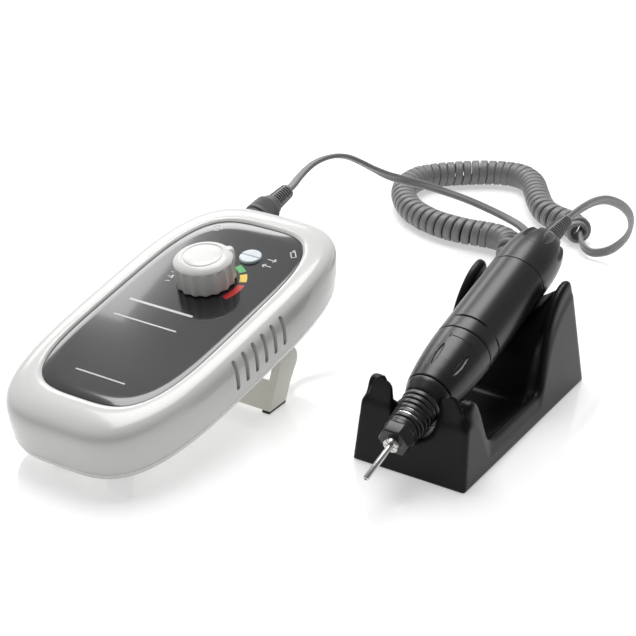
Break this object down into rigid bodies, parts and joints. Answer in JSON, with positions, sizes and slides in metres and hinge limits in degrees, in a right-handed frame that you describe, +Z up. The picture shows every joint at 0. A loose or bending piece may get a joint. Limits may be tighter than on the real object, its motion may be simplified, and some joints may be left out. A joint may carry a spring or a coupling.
{
  "type": "electric nail drill",
  "caption": "Rechargeable electric nail drill: tilted control unit with speed knob, pen handpiece with bit in a black cradle, grey curly cord.",
  "frame": {"origin": "on the surface it stands on, in the middle of the unit and cradle", "axes": "+Y along the unit towards its sockets, +X to the right, +Z up"},
  "size_m": [0.1737, 0.3599, 0.0628],
  "materials": {
    "white_case": "gloss",
    "black_panel": "gloss",
    "white_knob": "gloss",
    "pale_button": "gloss",
    "ivory_stand": "satin",
    "dark_rubber": "matte",
    "grey_cord": "satin",
    "grey_plug": "satin",
    "black_satin": "satin",
    "black_cradle": "satin",
    "steel": "polished",
    "plated": "polished",
    "magnet": "matte",
    "copper": "satin",
    "brush_block": "matte",
    "carbon": "matte",
    "board": "satin",
    "component": "satin",
    "cell_wrap": "gloss",
    "zinc": "satin",
    "socket_plastic": "satin"
  },
  "bodies": {
    "base": {"upper_case": "white_case", "lower_case": "white_case", "panel_glass": "black_panel", "speed_pot": "zinc", "rocker_switch": "component", "main_board": "board", "board_components": "component", "battery_cells": "cell_wrap", "motor_socket": "socket_plastic", "charge_jack": "socket_plastic", "case_screws": "steel", "front_feet": "dark_rubber", "lead_cord": "grey_cord", "curly_cord": "grey_cord", "tail_cord": "grey_cord", "cradle": "black_cradle", "cradle_pads": "dark_rubber"},
    "knob": {"speed_knob": "white_knob", "pot_shaft": "zinc"},
    "rocker": {"direction_rocker": "pale_button"},
    "stand": {"kickstand": "ivory_stand", "kickstand_grips": "dark_rubber"},
    "plug": {"plug_pin": "plated", "plug_grip": "grey_plug", "plug_relief": "grey_plug"},
    "handpiece": {"tail_relief": "grey_plug", "rear_cap": "black_satin", "barrel": "black_satin", "nose_sleeve": "black_satin", "nose_tip": "black_satin", "motor_can": "steel", "motor_magnets": "magnet", "brush_holder": "brush_block", "motor_brushes": "carbon", "rear_bearing": "steel", "middle_bearing": "steel", "front_bearing": "steel"},
    "chuck": {"chuck_ring": "black_satin"},
    "shaft": {"rotor": "copper", "commutator": "copper", "motor_shaft": "steel", "drive_coupling": "zinc", "spindle": "steel", "collet": "steel", "collet_spring": "steel"},
    "bit": {"nail_bit": "steel"}
  },
  "joints": [
    {"name": "knob_turn", "type": "hinge", "parent": "base", "child": "knob", "pos_m": [-0.045, 0.00488, 0.04409], "axis": [0, -0.1779, 0.984], "range_deg": [-102, 168]},
    {"name": "rocker_tilt", "type": "hinge", "parent": "base", "child": "rocker", "pos_m": [-0.0378, 0.02668, 0.04438], "axis": [1, 0, 0], "range_deg": [-6, 6]},
    {"name": "stand_fold", "type": "hinge", "parent": "base", "child": "stand", "pos_m": [-0.045, 0.00644, 0.01745], "axis": [1, 0, 0], "range_deg": [0, 124]},
    {"name": "plug_pull", "type": "slide", "parent": "base", "child": "plug", "axis": [0, 0.984, 0.1779], "range_m": [0, 0.012], "deforming": ["lead_cord"]},
    {"name": "handpiece_lift", "type": "slide", "parent": "base", "child": "handpiece", "axis": [0, -0.2639, 0.9646], "range_m": [0, 0.04], "deforming": ["tail_cord"]},
    {"name": "chuck_turn", "type": "hinge", "parent": "handpiece", "child": "chuck", "pos_m": [0.063, 0.00908, 0.03114], "axis": [0, -0.9646, -0.2639], "range_deg": [0, 60]},
    {"name": "spindle_spin", "type": "hinge", "parent": "handpiece", "child": "shaft", "pos_m": [0.063, 0.03513, 0.03827], "axis": [0, -0.9646, -0.2639], "continuous": true},
    {"name": "bit_pull", "type": "slide", "parent": "shaft", "child": "bit", "axis": [0, -0.9646, -0.2639], "range_m": [0, 0.03]}
  ]
}
